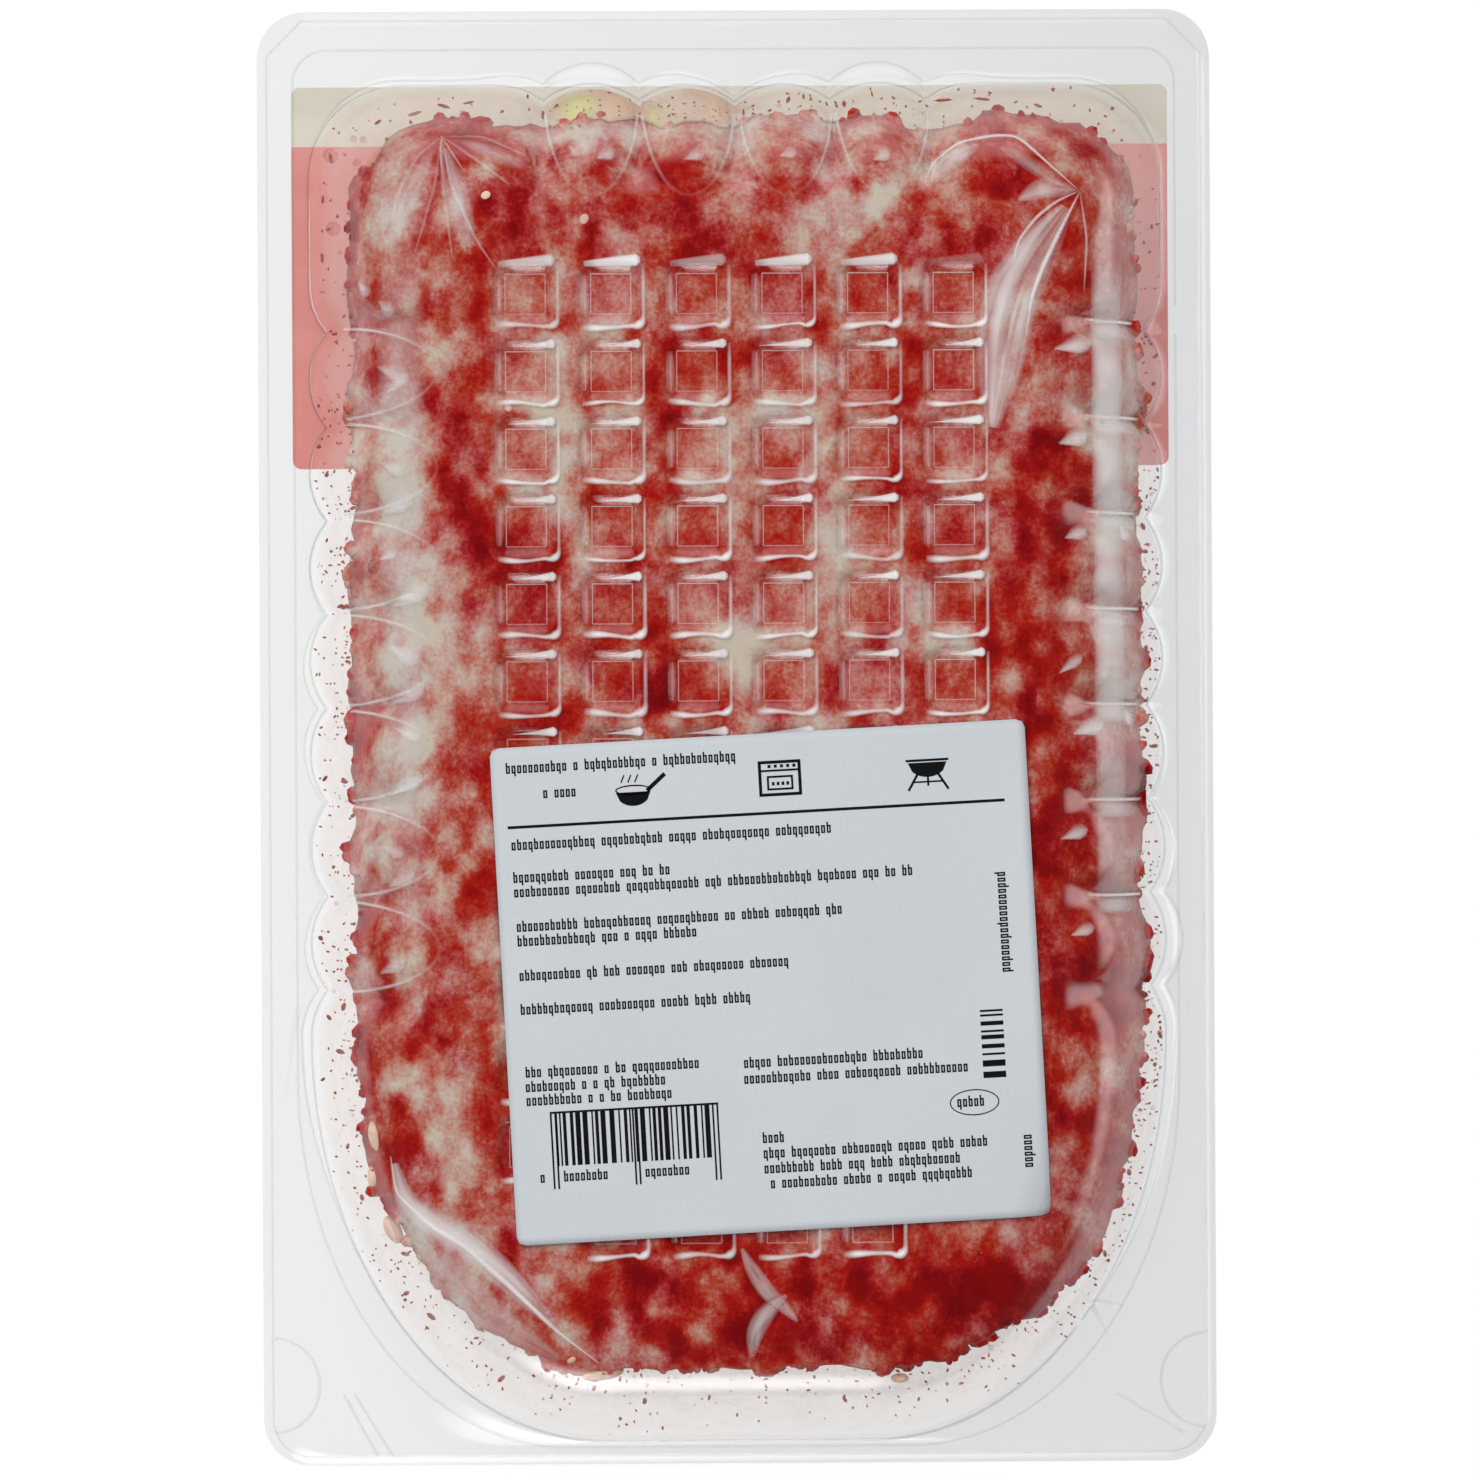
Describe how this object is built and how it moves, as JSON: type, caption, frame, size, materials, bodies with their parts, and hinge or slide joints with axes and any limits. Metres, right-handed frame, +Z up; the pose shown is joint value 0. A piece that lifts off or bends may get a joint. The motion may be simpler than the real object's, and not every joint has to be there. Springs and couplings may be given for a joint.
{
  "type": "meat tray pack",
  "caption": "Clear moulded tray of minced meat sealed with a clear lid film, lying on its film with the waffle-patterned base and its paper label up.",
  "frame": {"origin": "centre of the lid film's underside, on which the pack lies", "axes": "+X across the pack, +Y along it towards the end with the lobed wall, +Z up through the base of the tray"},
  "size_m": [0.142, 0.2164, 0.0385],
  "materials": {
    "tray_plastic": "clear glossy thermoformed plastic sheet",
    "film_plastic": "clear glossy lid film",
    "minced_meat": "moist minced meat marbled with pale fat",
    "label_paper": "smooth white label paper with black print"
  },
  "bodies": {
    "root": {"tray": "tray_plastic", "lid_film": "film_plastic", "meat": "minced_meat", "base_label": "label_paper"}
  },
  "joints": []
}
